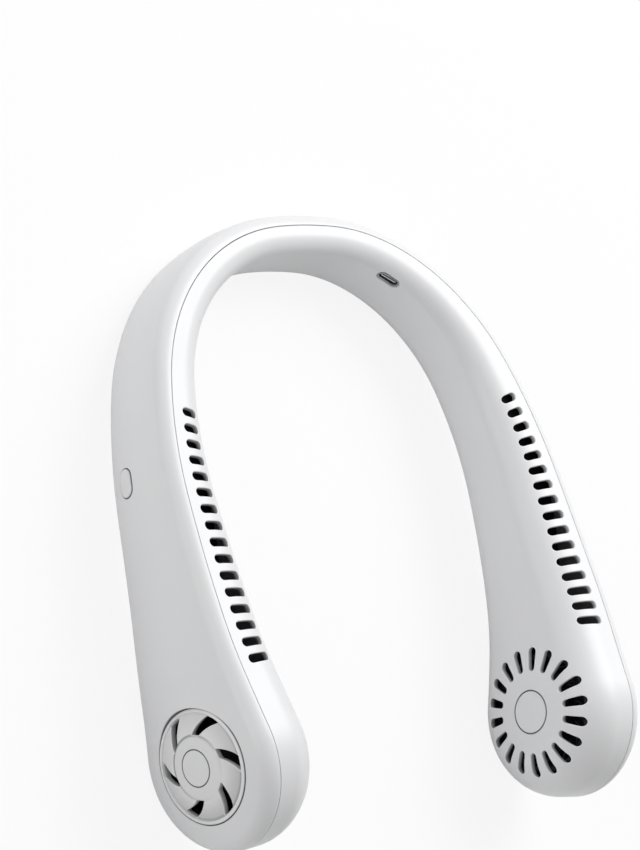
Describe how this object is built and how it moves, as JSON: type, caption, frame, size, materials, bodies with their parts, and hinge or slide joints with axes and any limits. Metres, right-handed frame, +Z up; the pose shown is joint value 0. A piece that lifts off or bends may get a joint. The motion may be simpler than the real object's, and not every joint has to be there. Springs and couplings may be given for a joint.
{
  "type": "neck fan",
  "caption": "Rigid bladeless neck fan: a U-shaped band with a centrifugal fan in each end pod, slotted outlets along both arms and a power button.",
  "frame": {"origin": "centre of the bounding box's underside; the part stands on a table on its neck edge and both pods", "axes": "+Z up off the table, +Y to the back of the neck, arms open toward -Y; the wearer's right arm, with the power button, is at -X"},
  "size_m": [0.1988, 0.2185, 0.06],
  "materials": {
    "shell": "satin white ABS, fine texture",
    "grille": "satin white ABS",
    "button": "satin white ABS",
    "fan": "dark grey moulded plastic",
    "guide": "dark grey moulded plastic",
    "board": "green solder mask",
    "switch_black": "black",
    "steel": "plated steel",
    "lamination": "stacked silicon steel",
    "magnet": "bonded magnet",
    "bronze": "sintered bronze",
    "copper": "enamelled copper wire",
    "motor_alloy": "die cast",
    "cell_foil": "laminated pouch foil",
    "foam_tape": "double-sided foam",
    "black_lead": "insulated wires",
    "red_lead": "insulated wires"
  },
  "bodies": {
    "body": {"outer_shell": "shell", "inner_shell": "shell", "power_switch": "switch_black", "control_board": "board", "control_board_screws": "steel", "usb_c_socket": "steel", "charge_board": "board", "charge_board_screws": "steel", "neck_harness": "black_lead", "right_intake_grille": "grille", "left_intake_grille": "grille", "right_grille_cap": "shell", "left_grille_cap": "shell", "right_inner_disc": "shell", "left_inner_disc": "shell", "right_bearing": "bronze", "left_bearing": "bronze", "right_stator_core": "lamination", "left_stator_core": "lamination", "right_coils": "copper", "left_coils": "copper", "right_motor_base": "motor_alloy", "left_motor_base": "motor_alloy", "right_motor_board": "board", "left_motor_board": "board", "right_motor_screws": "steel", "left_motor_screws": "steel", "right_air_guide": "guide", "left_air_guide": "guide", "right_battery_cell": "cell_foil", "left_battery_cell": "cell_foil", "right_battery_pad": "foam_tape", "left_battery_pad": "foam_tape", "right_motor_lead": "black_lead", "left_motor_lead": "black_lead", "right_battery_lead": "red_lead", "left_battery_lead": "red_lead"},
    "right_rotor": {"right_impeller": "fan", "right_rotor_can": "steel", "right_magnet_ring": "magnet", "right_motor_shaft": "steel"},
    "left_rotor": {"left_impeller": "fan", "left_rotor_can": "steel", "left_magnet_ring": "magnet", "left_motor_shaft": "steel"},
    "power_button": {"power_button": "button", "switch_stem": "switch_black"}
  },
  "joints": [
    {"name": "right_fan_spin", "type": "hinge", "parent": "body", "child": "right_rotor", "pos_m": [-0.08751, -0.0792, 0.03189], "axis": [-0.9947, -0.1025, 0.0109], "continuous": true},
    {"name": "left_fan_spin", "type": "hinge", "parent": "body", "child": "left_rotor", "pos_m": [0.08751, -0.0792, 0.03189], "axis": [0.9947, -0.1025, 0.0109], "continuous": true},
    {"name": "power_button_press", "type": "slide", "parent": "body", "child": "power_button", "axis": [0.9926, -0.1204, 0.0129], "range_m": [0, 0.0005], "stiffness_N_per_m": 4000}
  ]
}
